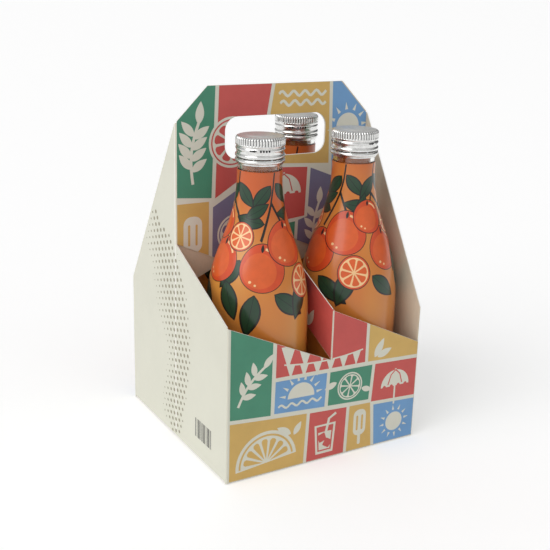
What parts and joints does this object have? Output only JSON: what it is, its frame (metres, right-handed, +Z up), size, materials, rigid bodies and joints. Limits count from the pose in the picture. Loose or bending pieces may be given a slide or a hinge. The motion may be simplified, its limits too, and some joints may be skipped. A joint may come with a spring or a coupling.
{
  "type": "bottle carrier",
  "caption": "Open carton carrier folded from one printed sheet, with centre handle and hand hole, holding capped glass bottles.",
  "frame": {"origin": "middle of the carrier's underside, on the surface that it stands on", "axes": "+Z up, +X to the right along the front panel, -Y to the front, where the low saw-tooth edge with the barcode side on its left is"},
  "size_m": [0.132, 0.133, 0.2139],
  "materials": {
    "printed_board": "printed board with matt varnish",
    "clear_glass": "smooth clear glass",
    "orange_drink": "cloudy orange liquid",
    "sleeve_film": "printed film with satin varnish",
    "cap_aluminium": "bright lacquered sheet",
    "liner_foam": "white foamed liner"
  },
  "bodies": {
    "carrier": {"carrier_sheet": "printed_board", "bottle_glass_front_left": "clear_glass", "drink_front_left": "orange_drink", "printed_sleeve_front_left": "sleeve_film", "tamper_band_front_left": "cap_aluminium", "bottle_glass_front_right": "clear_glass", "drink_front_right": "orange_drink", "printed_sleeve_front_right": "sleeve_film", "tamper_band_front_right": "cap_aluminium", "bottle_glass_back_left": "clear_glass", "drink_back_left": "orange_drink", "printed_sleeve_back_left": "sleeve_film", "tamper_band_back_left": "cap_aluminium", "bottle_glass_back_right": "clear_glass", "drink_back_right": "orange_drink", "printed_sleeve_back_right": "sleeve_film", "tamper_band_back_right": "cap_aluminium"},
    "liner_front_left": {"cap_liner_front_left": "liner_foam"},
    "cap_front_left": {"screw_cap_front_left": "cap_aluminium"},
    "liner_front_right": {"cap_liner_front_right": "liner_foam"},
    "cap_front_right": {"screw_cap_front_right": "cap_aluminium"},
    "liner_back_left": {"cap_liner_back_left": "liner_foam"},
    "cap_back_left": {"screw_cap_back_left": "cap_aluminium"},
    "liner_back_right": {"cap_liner_back_right": "liner_foam"},
    "cap_back_right": {"screw_cap_back_right": "cap_aluminium"}
  },
  "joints": [
    {"name": "cap_lift_front_left", "type": "slide", "parent": "carrier", "child": "liner_front_left", "axis": [0, 0, 1], "range_m": [0, 0.005]},
    {"name": "cap_turn_front_left", "type": "hinge", "parent": "liner_front_left", "child": "cap_front_left", "pos_m": [-0.02855, -0.0315, 0.184], "axis": [0, 0, 1], "range_deg": [0, 540]},
    {"name": "cap_lift_front_right", "type": "slide", "parent": "carrier", "child": "liner_front_right", "axis": [0, 0, 1], "range_m": [0, 0.005]},
    {"name": "cap_turn_front_right", "type": "hinge", "parent": "liner_front_right", "child": "cap_front_right", "pos_m": [0.03515, -0.0315, 0.184], "axis": [0, 0, 1], "range_deg": [0, 540]},
    {"name": "cap_lift_back_left", "type": "slide", "parent": "carrier", "child": "liner_back_left", "axis": [0, 0, 1], "range_m": [0, 0.005]},
    {"name": "cap_turn_back_left", "type": "hinge", "parent": "liner_back_left", "child": "cap_back_left", "pos_m": [-0.03255, 0.034, 0.184], "axis": [0, 0, 1], "range_deg": [0, 540]},
    {"name": "cap_lift_back_right", "type": "slide", "parent": "carrier", "child": "liner_back_right", "axis": [0, 0, 1], "range_m": [0, 0.005]},
    {"name": "cap_turn_back_right", "type": "hinge", "parent": "liner_back_right", "child": "cap_back_right", "pos_m": [0.03515, 0.034, 0.184], "axis": [0, 0, 1], "range_deg": [0, 540]}
  ],
  "couplings": [
    {"joint": "cap_lift_front_left", "follows": "cap_turn_front_left", "m_per_rad": 0.00050611},
    {"joint": "cap_lift_front_right", "follows": "cap_turn_front_right", "m_per_rad": 0.00050611},
    {"joint": "cap_lift_back_left", "follows": "cap_turn_back_left", "m_per_rad": 0.00050611},
    {"joint": "cap_lift_back_right", "follows": "cap_turn_back_right", "m_per_rad": 0.00050611}
  ]
}
